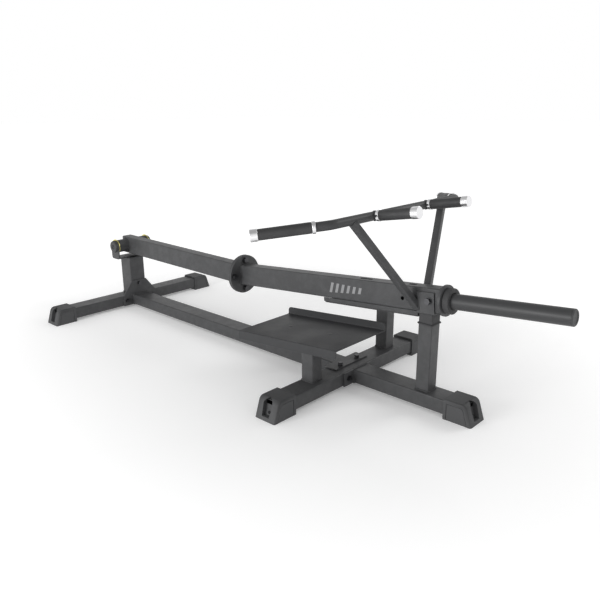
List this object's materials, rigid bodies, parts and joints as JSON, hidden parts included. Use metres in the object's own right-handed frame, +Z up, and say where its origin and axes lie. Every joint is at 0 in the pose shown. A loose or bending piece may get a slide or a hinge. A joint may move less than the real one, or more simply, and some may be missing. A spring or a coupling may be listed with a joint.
{
  "type": "plate-loaded lever row machine",
  "caption": "Low floor frame with a hinged lever arm, foot plate, wide multi-grip handle and a horn for weight plates, for standing rows.",
  "frame": {"origin": "on the floor, midway along the whole length, in the plane of the lever arm", "axes": "+X from the hinge towards the weight horn, +Z up, +Y to the far side, away from the foot plate's wide side"},
  "size_m": [2.1941, 1.0312, 0.6846],
  "materials": {
    "powder_coat": "satin charcoal powder coat with a fine texture",
    "moulded_foot": "matt, lightly textured",
    "rubber": "matt",
    "grip_rubber": "matt, finely textured",
    "chrome": "polished",
    "thrust_bronze": "turned, pale yellow",
    "dark_fastener": "black oxide",
    "turned_steel": "turned"
  },
  "bodies": {
    "frame": {"far_post": "powder_coat", "far_post_cap": "moulded_foot", "foot_plate": "powder_coat", "foot_plate_bolt_front": "dark_fastener", "foot_plate_bolt_rear": "dark_fastener", "front_far_foot": "moulded_foot", "front_near_foot": "moulded_foot", "front_rail": "powder_coat", "front_stabiliser": "powder_coat", "main_rail": "powder_coat", "near_plate_post": "powder_coat", "nose_foot": "moulded_foot", "pivot_bracket": "powder_coat", "pivot_cap_far": "powder_coat", "pivot_cap_near": "powder_coat", "pivot_shaft": "turned_steel", "plate_rear_stand": "powder_coat", "rear_far_foot": "moulded_foot", "rear_near_foot": "moulded_foot", "rear_post": "powder_coat", "rear_stabiliser": "powder_coat", "rest_post": "powder_coat", "rest_saddle": "rubber", "thrust_washer_far": "thrust_bronze", "thrust_washer_near": "thrust_bronze"},
    "lever_arm": {"bumper_ring": "rubber", "cross_bar": "powder_coat", "far_inner_end_cap": "chrome", "far_inner_grip": "grip_rubber", "far_inner_ring": "chrome", "far_outer_end_cap": "chrome", "far_outer_grip": "grip_rubber", "far_outer_ring": "chrome", "far_strut": "powder_coat", "flange_bolt_far": "dark_fastener", "flange_bolt_low": "dark_fastener", "flange_bolt_near": "dark_fastener", "flange_bolt_top": "dark_fastener", "front_arm_tube": "powder_coat", "front_flange_disc": "powder_coat", "handle_bolt": "dark_fastener", "handle_bracket": "powder_coat", "handle_nut": "dark_fastener", "horn_collar": "powder_coat", "horn_end_cap": "moulded_foot", "near_inner_end_cap": "chrome", "near_inner_grip": "grip_rubber", "near_inner_ring": "chrome", "near_outer_end_cap": "chrome", "near_outer_grip": "grip_rubber", "near_outer_ring": "chrome", "near_strut": "powder_coat", "pivot_barrel": "powder_coat", "pivot_bush_far": "thrust_bronze", "pivot_bush_near": "thrust_bronze", "rear_arm_tube": "powder_coat", "rear_flange_disc": "powder_coat", "skid_rail": "powder_coat", "skid_strip": "rubber", "weight_horn": "powder_coat"}
  },
  "joints": [
    {"name": "lever_hinge", "type": "hinge", "parent": "frame", "child": "lever_arm", "pos_m": [-1.0523, 0, 0.304], "axis": [0, -1, 0], "range_deg": [0, 60]}
  ]
}
